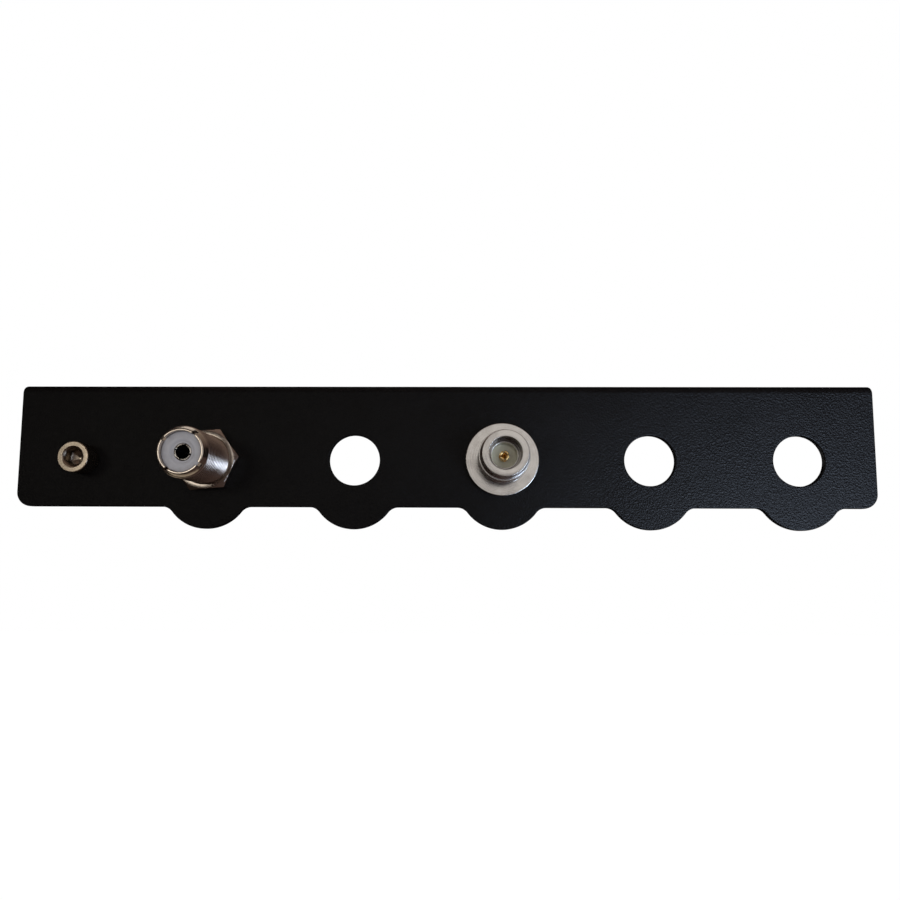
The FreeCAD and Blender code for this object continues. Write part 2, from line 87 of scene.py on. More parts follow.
def surface(points, wrap_rows, wrap_columns):
    """A grid of points, rows by columns by three, as a list of points and its faces."""
    rows, columns = points.shape[:2]
    return points.reshape(-1, 3), wrap_faces(rows, columns, wrap_rows, wrap_columns)


def add_to_scene(name, data):
    """A new object in the scene that holds the data."""
    thing = bpy.data.objects.new(name, data)
    bpy.context.collection.objects.link(thing)
    return thing


def add_piece(name, surfaces, material, node, crease=40):
    """Join surfaces given in millimetres into one closed mesh that stands for a node of the part. Points
    that meet become one, and an edge that turns by more than the crease, in degrees, stays sharp."""
    starts = np.cumsum([0] + [len(points) for points, _ in surfaces])
    points = np.concatenate([points for points, _ in surfaces]) * MM
    faces = sum([(part + start).tolist() for start, (_, part) in zip(starts, surfaces)], [])
    mesh = bpy.data.meshes.new(name)
    mesh.from_pydata(points.tolist(), [], faces)
    shape = bmesh.new()
    shape.from_mesh(mesh)
    bmesh.ops.remove_doubles(shape, verts=shape.verts, dist=MERGE_DISTANCE)
    bmesh.ops.dissolve_degenerate(shape, edges=shape.edges, dist=SPECK_LENGTH)
    bmesh.ops.recalc_face_normals(shape, faces=shape.faces)
    shape.to_mesh(mesh)
    shape.free()
    mesh.shade_smooth()
    mesh.set_sharp_from_angle(angle=np.radians(crease))
    mesh.materials.append(material)
    piece = add_to_scene(name, mesh)
    even = piece.modifiers.new("even_faces", "WEIGHTED_NORMAL")
    even.keep_sharp = True
    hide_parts(node)
    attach(piece, "root")


def softened(corners, steps=SOFT_STEPS):
    """A closed outline from (across, along, setback) corners. Each corner becomes a parabola that
    starts and ends the setback away from it, on its two sides."""
    corners = np.asarray(corners, float)
    place = corners[:, :2]
    before = np.roll(place, 1, axis=0) - place
    after = np.roll(place, -1, axis=0) - place
    setback = corners[:, 2:3]
    start = place + before / np.linalg.norm(before, axis=1, keepdims=True) * setback
    end = place + after / np.linalg.norm(after, axis=1, keepdims=True) * setback
    t = np.linspace(0, 1, steps)[:, None, None]
    curve = (1 - t) ** 2 * start + 2 * t * (1 - t) * place + t ** 2 * end
    return curve.transpose(1, 0, 2).reshape(-1, 2)


def circle(count, turn=0.0):
    """Evenly spaced angles of a full circle, in radians, with the turn given in degrees."""
    return np.linspace(0, 2 * np.pi, count, endpoint=False) + np.radians(turn)


def about(centre, radius, along, angles):
    """Points at a radius and a place along Y, round an axis through the centre."""
    radius, along, angles = np.broadcast_arrays(radius, along, angles)
    x = centre[0] + radius * np.cos(angles)
    z = centre[1] + radius * np.sin(angles)
    return np.stack([x, along, z], axis=-1)


def turned(outline, centre, angles, closed=True):
    """Surface of revolution: every point of an outline of (radius, place along Y) goes round the axis."""
    return surface(about(centre, outline[:, :1], outline[:, 1:2], angles[None, :]), closed, True)


def ringed(centre, rows, angles, closed=True):
    """A grid whose rows go round an axis. Each row is (radius, place along Y), and each of the two is
    one number or has a number for every angle. A closed grid joins its last row to its first."""
    reach = np.stack([np.broadcast_to(radius, angles.shape) for radius, _ in rows])
    along = np.stack([np.broadcast_to(place, angles.shape) for _, place in rows])
    return surface(about(centre, reach, along, angles[None, :]), closed, True)


def gapped_angles(count, gap, step, gap_points, land_points, turn=0.0):
    """Angles round an axis, with a small step at the sides of evenly spaced gaps for their walls, and
    whether each angle is in a gap. Gap, step and turn are in degrees."""
    pitch = 360 / count
    half = gap / 2
    local = np.concatenate([
        np.linspace(-half, half, gap_points),
        np.linspace(half + step, pitch - half - step, land_points),
    ])
    in_gap = np.arange(gap_points + land_points) < gap_points
    angles = (np.arange(count)[:, None] * pitch + local[None, :]).ravel() + turn
    return np.radians(angles), np.tile(in_gap, count)


# One pitch of a thread in shares of the pitch and of its depth: crest, flank, root, flank
PITCH_SHARE = np.array([0.0, 0.03, 0.27, 0.3, 0.43, 0.56, 0.59, 0.71, 0.74, 0.87])
PITCH_HEIGHT = np.array([0.94, 1.0, 1.0, 0.94, 0.5, 0.06, 0.0, 0.0, 0.06, 0.5])
FADES_PER_PITCH = 3


def thread(centre, radius, depth, pitch, start, end, angles):
    """A right-handed thread between two ends, each given as (place along Y, radius, rise per length).
    The grid's rows follow the helix, so that crest and root are rows: each row's height is a
    trapezoid wave of its share of a pitch. The cones that rise from the two ends cut the crests, the
    wave fades in over a third of a pitch, and rows past an end gather on its circle."""
    first, first_radius, first_rise = start
    last, last_radius, last_rise = end
    turns = int(np.ceil((last - first) / pitch)) + 2
    rows = (np.arange(-1, turns)[:, None] + PITCH_SHARE[None, :]).ravel()
    wave = np.tile(PITCH_HEIGHT, turns + 1)
    closing = np.append(angles, angles[0] + 2 * np.pi)
    swing = (closing - angles[0]) / (2 * np.pi)
    along = np.clip(first + pitch * (rows[:, None] - swing[None, :]), first, last)
    from_first, to_last = along - first, last - along
    cone = np.minimum(first_radius + first_rise * from_first, last_radius + last_rise * to_last)
    blank = np.minimum(radius, cone)
    fade = np.clip(np.minimum(from_first, to_last) / pitch * FADES_PER_PITCH, 0, 1)
    cut = np.clip(blank - radius + depth * (1 - wave[:, None]), 0, None)
    return surface(about(centre, blank - cut * fade, along, closing[None, :]), False, False)


# Folded sheet

SHEET_LENGTH = 279.0
FLANGE_REAR = 13.0
BEND_RADIUS = 2.8
SHEET_BOTTOM = -40.4
SHEET_CORNER = 4.7
LOBE_DROP = 8.6
LOBE_RADIUS = 13.95
LOBE_FILLET = 4.2
HOLE_RADIUS = 8.25
EARTH_HOLE_RADIUS = 3.3
FIXING_RADIUS = 2.75
FIXING_OFFSET = 97.5
COATED_EDGE = 0.4

# Places over the outer face, counted from the flange's rear edge
BEND_START = FLANGE_REAR - FRONT_FACE - BEND_RADIUS
BEND_LENGTH = BEND_RADIUS * np.pi / 2
BEND_END = BEND_START + BEND_LENGTH

# How many points the sheet's curves have
FOLD_LINES = 9
CORNER_POINTS = 12
FILLET_POINTS = 10
LOBE_POINTS = 50
HOLE_POINTS = 96
SMALL_HOLE_POINTS = 48
RIM_POINTS = 6


def down_sheet(height):
    """Distance over the sheet's outer face from the flange's rear edge to a height on the plate."""
    return BEND_END - BEND_RADIUS - height


def folded(flat, depth):
    """Fold flat points (x, distance over the outer face) that lie a depth under that face: first a
    level flange, then a quarter circle about the bend's axis, then an upright plate."""
    x, over = flat[..., 0], flat[..., 1]
    bend = np.clip((over - BEND_START) / BEND_LENGTH, 0, 1) * np.pi / 2
    radius = BEND_RADIUS - depth
    y = FRONT_FACE + BEND_RADIUS - radius * np.sin(bend) + np.clip(BEND_START - over, 0, None)
    z = -BEND_RADIUS + radius * np.cos(bend) - np.clip(over - BEND_END, 0, None)
    return np.stack([x, y, z], axis=-1)


def arc(centre, radius, start, end, count):
    """Points of a circular arc between two angles in degrees."""
    angles = np.radians(np.linspace(start, end, count))
    return np.asarray(centre) + radius * np.stack([np.cos(angles), np.sin(angles)], axis=-1)


def lobe(x):
    """One lobe of the lower edge, from right to left: fillet, arc about the lobe's centre, fillet. A
    fillet touches the straight edge and the lobe, so its centre lies the sum of the two radii from
    the lobe's centre."""
    edge = down_sheet(SHEET_BOTTOM)
    middle = HOLE_LINE - LOBE_DROP
    rise = SHEET_BOTTOM - LOBE_FILLET - middle
    reach = np.sqrt((LOBE_RADIUS + LOBE_FILLET) ** 2 - rise ** 2)
    meet = np.degrees(np.arctan2(-rise, reach))
    right = arc((x + reach, edge + LOBE_FILLET), LOBE_FILLET, 270, 180 + meet, FILLET_POINTS)
    round_end = arc((x, down_sheet(middle)), LOBE_RADIUS, meet, 180 - meet, LOBE_POINTS)
    left = arc((x - reach, edge + LOBE_FILLET), LOBE_FILLET, -meet, -90, FILLET_POINTS)
    return np.concatenate([right, round_end[1:-1], left])


def sheet_outline():
    """The flat sheet's outline: rear edge, right end, lobed lower edge from right to left, left end.
    The two ends have a point at each fold line."""
    half = SHEET_LENGTH / 2
    inner = half - SHEET_CORNER
    low = down_sheet(SHEET_BOTTOM) - SHEET_CORNER
    folds = np.linspace(BEND_START, BEND_END, FOLD_LINES)
    return np.concatenate([
        arc((-inner, SHEET_CORNER), SHEET_CORNER, 180, 270, CORNER_POINTS),
        arc((inner, SHEET_CORNER), SHEET_CORNER, 270, 360, CORNER_POINTS),
        np.stack([np.full(FOLD_LINES, half), folds], axis=-1),
        arc((inner, low), SHEET_CORNER, 0, 90, CORNER_POINTS),
        *[lobe(x) for x in HOLES[::-1]],
        arc((-inner, low), SHEET_CORNER, 90, 180, CORNER_POINTS),
        np.stack([np.full(FOLD_LINES, -half), folds[::-1]], axis=-1),
    ])


def hole_outline(centre, radius, count):
    """A circle against the sense of the sheet's outline, so that its inward side is the sheet too."""
    return arc(centre, radius, 360, 0, count + 1)[:-1]


def sheet_holes():
    """Outlines of the connector holes, the earth screw's hole and the two fixing holes."""
    level = down_sheet(HOLE_LINE)
    fixings = (-FIXING_OFFSET, FIXING_OFFSET)
    return [
        *[hole_outline((x, level), HOLE_RADIUS, HOLE_POINTS) for x in HOLES],
        hole_outline((EARTH[0], level), EARTH_HOLE_RADIUS, SMALL_HOLE_POINTS),
        *[hole_outline((x, FLANGE_REAR), FIXING_RADIUS, SMALL_HOLE_POINTS) for x in fixings],
    ]


def inwards(outline):
    """Unit normals of a closed outline, towards the sheet, from the points before and after."""
    tangent = np.roll(outline, -1, axis=0) - np.roll(outline, 1, axis=0)
    tangent = tangent / np.linalg.norm(tangent, axis=1, keepdims=True)
    return np.stack([-tangent[:, 1], tangent[:, 0]], axis=-1)


def coated_rim(outline):
    """A rounded edge carried along an outline: quarter circle, straight wall, quarter circle."""
    quarter = np.linspace(0, np.pi / 2, RIM_POINTS)
    inset = np.concatenate([1 - np.sin(quarter), 1 - np.cos(quarter)]) * COATED_EDGE
    sunk = (1 - np.cos(quarter)) * COATED_EDGE
    depth = np.concatenate([sunk, SHEET_THICKNESS - sunk[::-1]])
    flat = outline[None] + inwards(outline)[None] * inset[:, None, None]
    return surface(folded(flat, depth[:, None]), False, True)


def inside(points, outline):
    """Whether points lie within a closed outline, by counting the sides to the right of each."""
    start, end = outline, np.roll(outline, -1, axis=0)
    x, y = points[:, None, 0], points[:, None, 1]
    spans = (start[None, :, 1] > y) != (end[None, :, 1] > y)
    rise = np.where(end[:, 1] == start[:, 1], 1.0, end[:, 1] - start[:, 1])
    cross = start[None, :, 0] + (y - start[None, :, 1]) * ((end[:, 0] - start[:, 0]) / rise)[None]
    return (spans & (x < cross)).sum(axis=1) % 2 == 1


def sheet_face(outline, holes, depth):
    """One face of the sheet, filled with triangles between the rims' inner edges, with lines along the
    bend from end to end. A triangle is kept if its middle is in the outline and in no hole."""
    loops = [loop + inwards(loop) * COATED_EDGE for loop in [outline, *holes]]
    flat = np.concatenate(loops)
    starts = np.cumsum([0] + [len(loop) for loop in loops[:-1]])
    sides = [
        np.stack([np.arange(len(loop)), np.roll(np.arange(len(loop)), -1)], axis=-1) + start
        for start, loop in zip(starts, loops)
    ]
    right = np.arange(FOLD_LINES) + 2 * CORNER_POINTS
    left = len(outline) - 1 - np.arange(FOLD_LINES)
    edges = np.concatenate([*sides, np.stack([right, left], axis=-1)])
    found = delaunay_2d_cdt(flat.tolist(), edges.tolist(), [], 0, SPECK_LENGTH)
    points = np.array(found[0], dtype=float)
    faces = np.array(found[2])
    middle = points[faces].mean(axis=1)
    kept = inside(middle, loops[0])
    for loop in loops[1:]:
        kept &= ~inside(middle, loop)
    return folded(points, depth), faces[kept]


def sheet_surfaces():
    """The sheet's outer and inner face, and the rounded rims of its outline and its holes."""
    outline = sheet_outline()
    holes = sheet_holes()
    faces = [sheet_face(outline, holes, depth) for depth in (0.0, SHEET_THICKNESS)]
    return faces + [coated_rim(loop) for loop in [outline, *holes]]


# Nuts and washers

NUT_POINTS = 216
NUT_CONE = 30.0
NUT_SEAT_EASE = 0.12
NUT_COUNTERSINK = 0.12
RING_POINTS = 128
TOOTH_EASE = 0.1
SPLIT_POINTS = 140
SPLIT_EASE = 0.15
SPLIT_GAP = 8.0
SPLIT_SLANT = 16.0


def hexagon_reach(angles, width, turn, power=90):
    """Distance from the axis to a hexagon's side: half its width over a high power mean of the
    cosines to its three pairs of sides, which eases the corners."""
    sides = np.radians(np.array([30, 90, 150]) + turn)
    cosines = np.abs(np.cos(angles[:, None] - sides[None, :]))
    return width / 2 / (cosines ** power).sum(axis=1) ** (1 / power)


def nut_surfaces(centre, seat, outwards, width, height, face, bore, turn, seat_bevel):
    """A hexagon nut. At each angle the side stops where a cone of 30 degrees from the face circle
    meets it; then come the face, a countersink that widens with the root of the nut's height, and the
    bore, whose thread the screw hides."""
    angles = circle(NUT_POINTS, turn)
    side = hexagon_reach(angles, width, turn)
    rim = np.minimum(side, face)
    drop = np.clip(side - face, 0, None) * np.tan(np.radians(NUT_CONE))
    base = drop if seat_bevel else 0.0
    base_rim = rim if seat_bevel else side - NUT_SEAT_EASE
    sunk = NUT_COUNTERSINK * height ** 0.5
    tuck, lift, run = 0.03, 0.05, 0.14
    rim_out, rim_drop, rim_in = 0.06, 0.035, 0.1
    rows = [
        (bore, sunk),
        (bore + sunk, 0.0),
        (base_rim, 0.0),
        (side - tuck, base + lift),
        (side, base + run),
        (side, height - drop - run),
        (side - tuck, height - drop - lift),
        (rim + rim_out, height - rim_drop),
        (rim - rim_in, height),
        (bore + sunk, height),
        (bore, height - sunk),
    ]
    return [ringed(centre, [(reach, seat + outwards * rise) for reach, rise in rows], angles)]


def ring_section(start, end, inner, outer, edge):
    """Section of a flat ring: a rectangle with eased corners."""
    return softened([(inner, start, edge), (outer, start, edge), (outer, end, edge), (inner, end, edge)])


def ring_surfaces(centre, start, end, inner, outer, edge=0.12):
    """A flat ring with eased edges, turned about its axis."""
    return [turned(ring_section(start, end, inner, outer, edge), centre, circle(RING_POINTS))]


def toothed_surfaces(centre, start, end, rim, tip, root, count, gap):
    """A washer whose one edge is a plain circle, the rim, and whose other edge steps between the
    teeth's tips and the roots of the gaps. A small bevel eases all its edges."""
    angles, in_gap = gapped_angles(count, gap, step=0.4, gap_points=5, land_points=9)
    edge = np.where(in_gap, root, tip)
    away = np.sign(tip - rim) * TOOTH_EASE
    rows = [
        (rim, start + TOOTH_EASE),
        (rim + away, start),
        (edge - away, start),
        (edge, start + TOOTH_EASE),
        (edge, end - TOOTH_EASE),
        (edge - away, end),
        (rim + away, end),
        (rim, end - TOOTH_EASE),
    ]
    return [ringed(centre, rows, angles)]


def split_washer_surfaces(centre, start, end, inner, outer, turn):
    """A ring's section carried once round the axis, from one side of a slit at the top to the other. The
    angle grows with the place along the axis, which slants the slit. Each end is closed by a last
    row that gathers on the section's middle."""
    section = ring_section(start, end, inner, outer, SPLIT_EASE)
    sweep = np.linspace(SPLIT_GAP / 2, 360 - SPLIT_GAP / 2, SPLIT_POINTS)
    lean = (section[:, 1] - (start + end) / 2) / (end - start) * SPLIT_SLANT
    angles = np.radians(90 + turn + sweep[None, :] + lean[:, None])
    ring = about(centre, section[:, :1], section[:, 1:2], angles)
    caps = np.broadcast_to(ring[:, [0, -1]].mean(axis=0), (len(section), 2, 3))
    return [surface(np.concatenate([caps[:, :1], ring, caps[:, 1:]], axis=1), True, False)]


# Earth screw

HEAD_RADIUS = 5.0
HEAD_FRONT = -23.0
HEAD_EDGE = 0.28
HEAD_FACE_INSET = 0.06
HEAD_FOOT_INSET = 0.3
HEAD_FOOT_BEVEL = 0.5
HEAD_EDGE_POINTS = 7
KNURL_DEPTH = 0.11
KNURL_RIDGES = 40
KNURL_START = 1.3
PLAIN_BAND = 1.1
SCREW_END = 3.0
SCREW_RADIUS = 3.0
SCREW_BEVEL = 0.7
SCREW_BEVEL_RISE = 1.0
SCREW_PITCH = 1.0
SCREW_THREAD_DEPTH = 0.55
SOCKET_WIDTH = 5.0
SOCKET_DEPTH = 3.0
SOCKET_TURN = 20.0
SOCKET_POWER = 160
SOCKET_MOUTH = 3.42
MOUTH_SLOPE = 0.8
DRILL_POINT = 1.25
DRILL_HALFWAY = 0.65
SCREW_POINTS = 240


def socket_rows(angles):
    """Rings of the hexagon socket from the drill point in its floor, over its walls, to the end of the
    cone at its mouth. The edges between them are eased by a few hundredths of a millimetre."""
    socket = hexagon_reach(angles, SOCKET_WIDTH, SOCKET_TURN, SOCKET_POWER)
    floor = HEAD_FRONT + SOCKET_DEPTH
    cone = HEAD_FRONT + (SOCKET_MOUTH - socket) * MOUTH_SLOPE
    ease, halfway, floor_rim = 0.05, 0.5, 0.97
    under_cone, over_wall = 0.06, 0.04
    face_start, face_next = 0.08, 0.14
    return [
        (0.0, floor + DRILL_POINT),
        (socket * halfway, floor + DRILL_HALFWAY),
        (socket * floor_rim, floor + ease),
        (socket, floor - ease),
        (socket, cone + under_cone),
        (socket + ease, cone - over_wall),
        (SOCKET_MOUTH - ease, HEAD_FRONT + ease),
        (SOCKET_MOUTH + face_start, HEAD_FRONT),
        (SOCKET_MOUTH + face_next, HEAD_FRONT),
    ]


def screw_surfaces():
    """Head turned with a rounded top edge, which is a quarter circle, and a straight knurl, which is a
    wave of the radius with the angle; its socket; a plain neck, the thread and a bevelled end."""
    angles = circle(SCREW_POINTS, SOCKET_TURN)
    knurl = KNURL_DEPTH * (1 + np.cos(angles * KNURL_RIDGES))
    quarter = np.linspace(0, np.pi / 2, HEAD_EDGE_POINTS)
    edge_radii = HEAD_RADIUS - HEAD_EDGE * (1 - np.sin(quarter))
    edge_places = HEAD_FRONT + HEAD_EDGE * (1 - np.cos(quarter))
    rows = [
        *socket_rows(angles),
        (HEAD_RADIUS - HEAD_EDGE - HEAD_FACE_INSET, HEAD_FRONT),
        *zip(edge_radii, edge_places),
        (HEAD_RADIUS, HEAD_FRONT + PLAIN_BAND),
        (HEAD_RADIUS - knurl, HEAD_FRONT + KNURL_START),
        (HEAD_RADIUS - knurl, FRONT_FACE - HEAD_FOOT_BEVEL),
        (HEAD_RADIUS - HEAD_FOOT_INSET, FRONT_FACE),
        (SCREW_RADIUS, FRONT_FACE),
        (SCREW_RADIUS, BACK_FACE),
    ]
    tip = SCREW_RADIUS - SCREW_BEVEL
    shank = thread(EARTH, SCREW_RADIUS, SCREW_THREAD_DEPTH, SCREW_PITCH, (BACK_FACE, SCREW_RADIUS, 0.0),
                   (SCREW_END, tip, SCREW_BEVEL_RISE), angles)
    end = ringed(EARTH, [(tip, SCREW_END), (0.0, SCREW_END)], angles, False)
    return [ringed(EARTH, rows, angles, False), shank, end]


# Contacts

# Rounded tip of a finger, row by row: share of its wall, share of its width, depth in walls. At its root
# the finger is full, and a last row gathers to close it.
FINGER_TIP = np.array([(0.0, 0.0, 0.0), (0.76, 0.97, 0.0), (0.93, 0.99, 0.06), (1.0, 1.0, 0.3)])
FINGER_ROOT = (1.0, 0.0)
FINGER_POINTS = 18
CONTACT_POINTS = 72
CONTACT_DRILL_POINT = 0.8


def contact_surfaces(centre, front, rear, recess, radius, socket, depth, slot_width, slot_depth, turn):
    """A rod with slotted sockets, set back from its connector's ends. Each of the four fingers of an end
    is a ring sector carried along Y, which shrinks towards its middle at the rounded tip; the rod
    between the slots is turned, with a socket in each end."""
    half_slot = np.arcsin(slot_width / 2 / socket)
    spread = np.linspace(half_slot, np.pi / 2 - half_slot, FINGER_POINTS)
    reach = np.repeat([socket, radius], FINGER_POINTS)
    angle = np.concatenate([spread, spread[::-1]])
    wall = radius - socket
    core = (socket + radius) / 2
    wall_share = np.append(FINGER_TIP[:, 0], FINGER_ROOT)[:, None]
    width_share = np.append(FINGER_TIP[:, 1], FINGER_ROOT)[:, None]
    level = np.append(FINGER_TIP[:, 2] * wall, (slot_depth, slot_depth))[:, None]
    reach = core + (reach[None, :] - core) * wall_share
    angle = np.pi / 4 + (angle[None, :] - np.pi / 4) * width_share
    middle = (front + rear) / 2
    surfaces = []
    for place, sign in ((front + recess, 1.0), (rear - recess, -1.0)):
        for quarter in range(4):
            finger = about(centre, reach, place + sign * level, angle + np.radians(turn + 90 * quarter))
            surfaces.append(surface(finger, False, True))
        outline = softened([
            (0.0, place + sign * (depth + CONTACT_DRILL_POINT), 0.0),
            (socket, place + sign * depth, 0.0),
            (socket, place + sign * slot_depth, 0.0),
            (radius, place + sign * slot_depth, 0.0),
            (radius, middle, 0.0),
            (0.0, middle, 0.0),
        ], 2)
        surfaces.append(turned(outline, centre, circle(CONTACT_POINTS, turn)))
    return surfaces


# Barrel connector

BARREL_FRONT = -36.0
BARREL_REAR = 4.0
BARREL_MIDDLE = (BARREL_FRONT + BARREL_REAR) / 2
BARREL_RIM = 6.9
BARREL_BORE = 6.15
BARREL_LEAD = 2.2
RIM_DEPTH = 6.0
NOTCHES = 4
NOTCH_WIDTH = 1.3
NOTCH_DEPTH = 1.2
NOTCH_TURN = 54.0
LIP_STEP = 0.1
BARREL_CONTACT = dict(recess=1.7, radius=2.65, socket=2.1, depth=12.0, slot_width=0.4, slot_depth=8.0,
                      turn=72.0)
INSULATOR_RECESS = 1.2
INSULATOR_POINTS = 144

# Dished face of an insulator, outwards from the contact: radius, depth under the face, setback
DISH = ((BARREL_CONTACT["radius"], 0.6, 0.08), (3.2, 0.55, 0.2), (3.7, 0.06, 0.2), (4.0, 0.0, 0.15))
DISH_EDGE = 0.15


def barrel_shell_surfaces():
    """A tube whose two rims are bevelled and notched: within a notch no point of the rim lies nearer
    to the end than the notch's floor. The outside between the bevels is threaded."""
    notch = 2 * np.degrees(np.arcsin(NOTCH_WIDTH / 2 / BARREL_RIM))
    angles, in_notch = gapped_angles(NOTCHES, notch, step=0.5, gap_points=7, land_points=34, turn=NOTCH_TURN)
    floor = np.where(in_notch, NOTCH_DEPTH, 0.0)
    slope = (THREAD_RADIUS - BARREL_RIM) / BARREL_LEAD
    lip = NOTCH_DEPTH + LIP_STEP
    lip_radius = BARREL_RIM + slope * lip
    ease, fine = 0.08, 0.02
    inset, proud, shoulder, shoulder_depth = 0.03, 0.01, 0.05, 0.1
    rim = [
        (BARREL_BORE, RIM_DEPTH),
        (BARREL_BORE, ease),
        (BARREL_BORE + fine, fine),
        (BARREL_BORE + ease, 0.0),
        (BARREL_RIM - inset, 0.0),
        (BARREL_RIM + proud, fine),
        (BARREL_RIM + shoulder, shoulder_depth),
        (lip_radius, lip),
    ]
    surfaces = []
    for end, sign in ((BARREL_FRONT, 1.0), (BARREL_REAR, -1.0)):
        rows = [(radius, end + sign * np.maximum(depth, floor)) for radius, depth in rim]
        surfaces.append(ringed(BARREL, rows, angles, False))
    bore = [(BARREL_BORE, BARREL_FRONT + RIM_DEPTH), (BARREL_BORE, BARREL_REAR - RIM_DEPTH)]
    surfaces.append(ringed(BARREL, bore, angles, False))
    start = (BARREL_FRONT + lip, lip_radius, slope)
    end = (BARREL_REAR - lip, lip_radius, slope)
    surfaces.append(thread(BARREL, THREAD_RADIUS, THREAD_DEPTH, THREAD_PITCH, start, end, angles))
    return surfaces


def dished_insulator_surfaces(face, sign):
    """A bush turned from the barrel's middle to a face that dips to the contact in a soft step. The
    sign is that of the way into the barrel."""
    outline = softened([
        (BARREL_CONTACT["radius"], BARREL_MIDDLE, 0.0),
        *[(radius, face + depth * sign, setback) for radius, depth, setback in DISH],
        (BARREL_BORE, face, DISH_EDGE),
        (BARREL_BORE, BARREL_MIDDLE, 0.0),
    ])
    return [turned(outline, BARREL, circle(INSULATOR_POINTS))]


# Flanged connector

FLANGED_FRONT = -32.5
FLANGED_REAR = 7.5
FLANGED_MIDDLE = (FLANGED_FRONT + FLANGED_REAR) / 2
FLANGE_RADIUS = 11.75
FLANGE_FRONT = -19.5
FLANGE_BACK = -17.5
NOSE_RADIUS = 7.075
NOSE_LENGTH = 3.9
LAND_DEPTH = 4.25
LAND_INNER = 7.66
LAND_OUTER = 7.9
LAND_EDGE = 0.08
MOUTH_RADIUS = 5.05
MOUTH_DEPTH = 5.0
THROAT_RADIUS = 4.0
THROAT_DEPTH = 3.0
LIP_HEIGHT = 0.45
LIP_TOP = 0.28
LIP_FOOT = 0.34
THREAD_UNDERCUT = 0.5
UNDERCUT_RISE = 1.5
FLANGED_POINTS = 180
FLANGED_FACE = 8.0
FLANGED_CONTACT = dict(recess=5.2, radius=1.55, socket=0.85, depth=6.0, slot_width=0.25, slot_depth=4.0,
                       turn=10.0)
GASKET_RADIUS = 11.0


def flanged_end(end, sign):
    """Outline of one end, from the throat with its lip over the mouth to the nose and the narrow land
    where the thread starts."""
    ledge = end + sign * MOUTH_DEPTH
    lip = end + sign * (MOUTH_DEPTH - LIP_HEIGHT)
    return [
        (THROAT_RADIUS, end + sign * (MOUTH_DEPTH + THROAT_DEPTH), 0.0),
        (THROAT_RADIUS, lip, 0.1),
        (THROAT_RADIUS + LIP_TOP, lip, 0.08),
        (THROAT_RADIUS + LIP_FOOT, ledge, 0.1),
        (MOUTH_RADIUS, ledge, 0.1),
        (MOUTH_RADIUS, end, 0.06),
        (NOSE_RADIUS, end, 0.16),
        (NOSE_RADIUS, end + sign * NOSE_LENGTH, 0.05),
        (LAND_INNER, end + sign * LAND_DEPTH, 0.03),
        (LAND_OUTER, end + sign * LAND_DEPTH, 0.03),
        (THREAD_RADIUS, end + sign * (LAND_DEPTH + LAND_EDGE), 0.0),
    ]


def flanged_shell_surfaces():
    """A body turned from three open outlines, its two ends and its flange, and joined by the threads
    and the throat between them. An open outline keeps one point of its first and its last corner."""
    angles = circle(FLANGED_POINTS)
    neck = THREAD_RADIUS - THREAD_DEPTH
    front_start = FLANGED_FRONT + LAND_DEPTH + LAND_EDGE
    front_end = FLANGE_FRONT - THREAD_UNDERCUT
    rear_end = FLANGED_REAR - LAND_DEPTH - LAND_EDGE
    collar = [
        (neck, front_end, 0.0),
        (neck, FLANGE_FRONT, 0.1),
        (FLANGE_RADIUS, FLANGE_FRONT, 0.22),
        (FLANGE_RADIUS, FLANGE_BACK, 0.15),
        (THREAD_RADIUS, FLANGE_BACK, 0.0),
    ]
    surfaces = []
    for corners in (flanged_end(FLANGED_FRONT, 1.0), flanged_end(FLANGED_REAR, -1.0), collar):
        outline = softened(corners)[SOFT_STEPS - 1:1 - SOFT_STEPS]
        surfaces.append(turned(outline, FLANGED, angles, False))
    throat_front = FLANGED_FRONT + MOUTH_DEPTH + THROAT_DEPTH
    throat_rear = FLANGED_REAR - MOUTH_DEPTH - THROAT_DEPTH
    throat = [(THROAT_RADIUS, place) for place in (throat_front, FLANGED_MIDDLE, throat_rear)]
    surfaces.append(ringed(FLANGED, throat, angles, False))
    for start, end in (
        ((front_start, THREAD_RADIUS, 0.0), (front_end, neck, UNDERCUT_RISE)),
        ((FLANGE_BACK, THREAD_RADIUS, 0.0), (rear_end, THREAD_RADIUS, 0.0)),
    ):
        surfaces.append(thread(FLANGED, THREAD_RADIUS, THREAD_DEPTH, THREAD_PITCH, start, end, angles))
    return surfaces


# Nodes that the finishes share

def cleared_nodes(owner):
    """The emptied node tree of a material or a world."""
    owner.use_nodes = True
    owner.node_tree.nodes.clear()
    return owner.node_tree


def add_node(tree, kind, inputs=(), **settings):
    """Add a node, set its properties, and fill its inputs with values or with other nodes' outputs."""
    node = tree.nodes.new(kind)
    for name, value in settings.items():
        setattr(node, name, value)
    for key, value in dict(inputs).items():
        if isinstance(value, bpy.types.NodeSocket):
            tree.links.new(value, node.inputs[key])
        else:
            node.inputs[key].default_value = value
    return node


def new_finish(name):
    """A new material that holds only a surface shader and its output."""
    material = bpy.data.materials.new(name)
    tree = cleared_nodes(material)
    shader = add_node(tree, "ShaderNodeBsdfPrincipled")
    add_node(tree, "ShaderNodeOutputMaterial", {"Surface": shader.outputs["BSDF"]})
    return material, tree, shader


def object_place(tree, centre=(0.0, 0.0)):
    """Object coordinates counted from a connector's axis, given in millimetres."""
    place = add_node(tree, "ShaderNodeTexCoord").outputs["Object"]
    offset = (-centre[0] * MM, 0.0, -centre[1] * MM)
    return add_node(tree, "ShaderNodeMapping", {"Vector": place, "Location": offset}).outputs["Vector"]


def noise(tree, place, scale, detail, roughness):
    """Noise between 0 and 1, with the scale in waves per metre."""
    return add_node(tree, "ShaderNodeTexNoise", {
        "Vector": place, "Scale": scale, "Detail": detail, "Roughness": roughness,
    }).outputs["Fac"]


